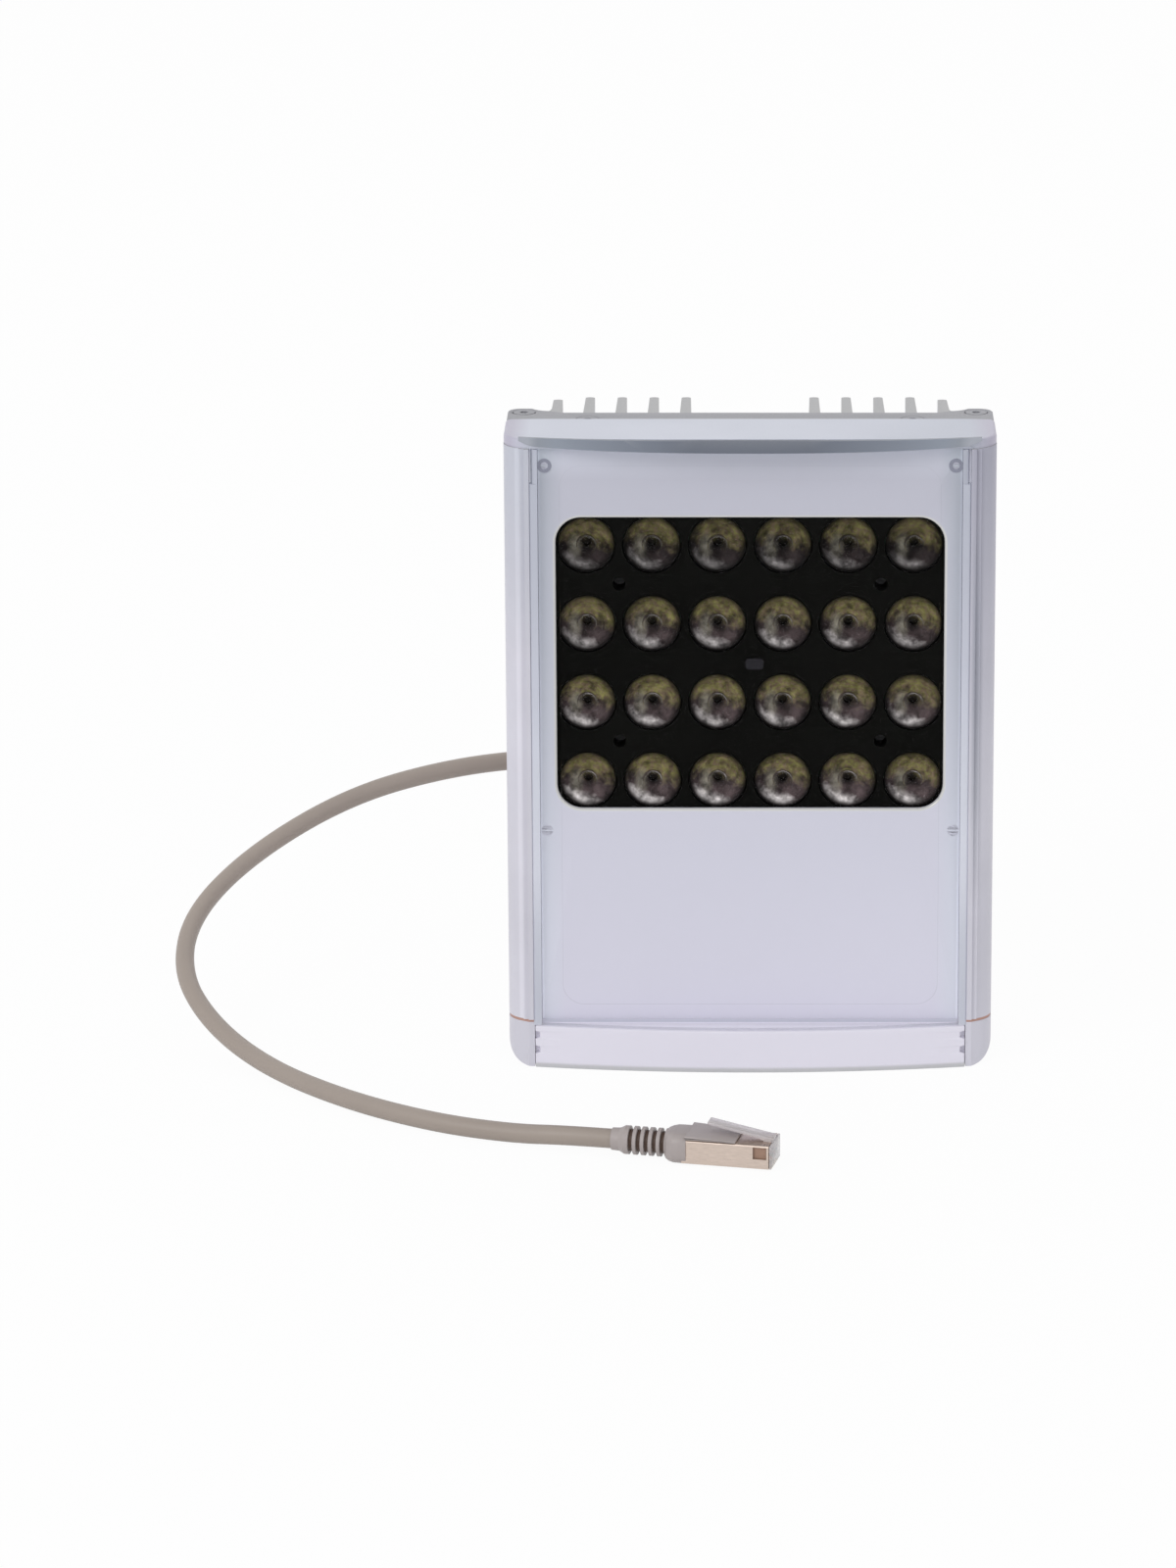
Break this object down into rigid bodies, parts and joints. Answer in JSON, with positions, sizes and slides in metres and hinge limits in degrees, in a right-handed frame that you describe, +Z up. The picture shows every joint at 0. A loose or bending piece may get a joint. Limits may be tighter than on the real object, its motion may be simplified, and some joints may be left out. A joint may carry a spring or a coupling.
{
  "type": "white light illuminator",
  "caption": "Upright white light illuminator with a finned housing, bulged clear window over a lens array, tilting wall bracket and a network lead.",
  "frame": {"origin": "on the underside, on the symmetry plane, level with the front rim of the housing", "axes": "+Z up, +X to the right seen from the front, +Y from the window towards the cooling fins and the bracket"},
  "size_m": [0.2311, 0.1976, 0.18],
  "materials": {
    "white_paint": "satin white powder coat",
    "cover_white": "satin white moulding",
    "clear_window": "clear glossy polycarbonate",
    "clear_sheet": "clear thin sheet",
    "mask_grey": "light lavender-grey satin",
    "dark_seal": "dark slate sealing strip",
    "seal_rubber": "soft black rubber",
    "seam_rubber": "terracotta silicone",
    "tray_black": "black satin moulding",
    "lens_clear": "clear moulded optic",
    "lamp_phosphor": "yellow phosphor over a pale base",
    "sensor_grey": "smoked sensor dome",
    "board_green": "solder mask over laminate",
    "thermal_grey": "grey heat transfer pad",
    "component_black": "moulded component",
    "can_aluminium": "plain aluminium can",
    "copper_coil": "wound wire with tape",
    "terminal_grey": "moulded terminal body",
    "steel": "stainless steel",
    "gland_grey": "grey nylon gland",
    "lead_grey": "beige-grey cable jacket",
    "boot_grey": "beige-grey moulded boot",
    "plug_metal": "plated plug shield",
    "plug_clear": "clear plug moulding",
    "contact_gold": "gold-plated blades",
    "bracket_paint": "satin white powder coat on folded steel"
  },
  "bodies": {
    "housing": {"heat_sink": "white_paint", "top_cap": "white_paint", "bottom_cap": "white_paint", "access_cover": "cover_white", "seam_seal": "seam_rubber", "top_cap_seal": "seal_rubber", "front_window": "clear_window", "window_top_seal": "dark_seal", "window_seal": "seal_rubber", "lens_insert": "clear_sheet", "mask_plate": "mask_grey", "optic_tray": "tray_black", "collimator_lenses": "lens_clear", "lamp_board": "board_green", "thermal_pad": "thermal_grey", "lamps": "lamp_phosphor", "light_sensor": "sensor_grey", "driver_board": "board_green", "board_spacers": "steel", "driver_board_screws": "steel", "transformer": "copper_coil", "capacitors": "can_aluminium", "regulator": "component_black", "choke": "copper_coil", "terminal_block": "terminal_grey", "top_cap_screws": "steel", "bottom_cap_screws": "steel", "cover_screws": "steel", "mask_screws": "steel", "tray_screws": "component_black", "pivot_block_screws": "steel", "gland_body": "gland_grey", "gland_nut": "gland_grey", "gland_seal": "seal_rubber", "gland_locknut": "gland_grey", "inner_lead": "lead_grey", "network_lead": "lead_grey", "cable_boot": "boot_grey", "plug_shell": "plug_metal", "plug_body": "plug_clear", "plug_contacts": "contact_gold", "pivot_block": "white_paint"},
    "bracket": {"bracket": "bracket_paint", "pivot_bolt": "steel", "pivot_washers": "steel", "pivot_nut": "steel"}
  },
  "joints": [
    {"name": "bracket_tilt", "type": "hinge", "parent": "housing", "child": "bracket", "pos_m": [0, 0.054, 0.13], "axis": [1, 0, 0], "range_deg": [-60, 60]}
  ]
}
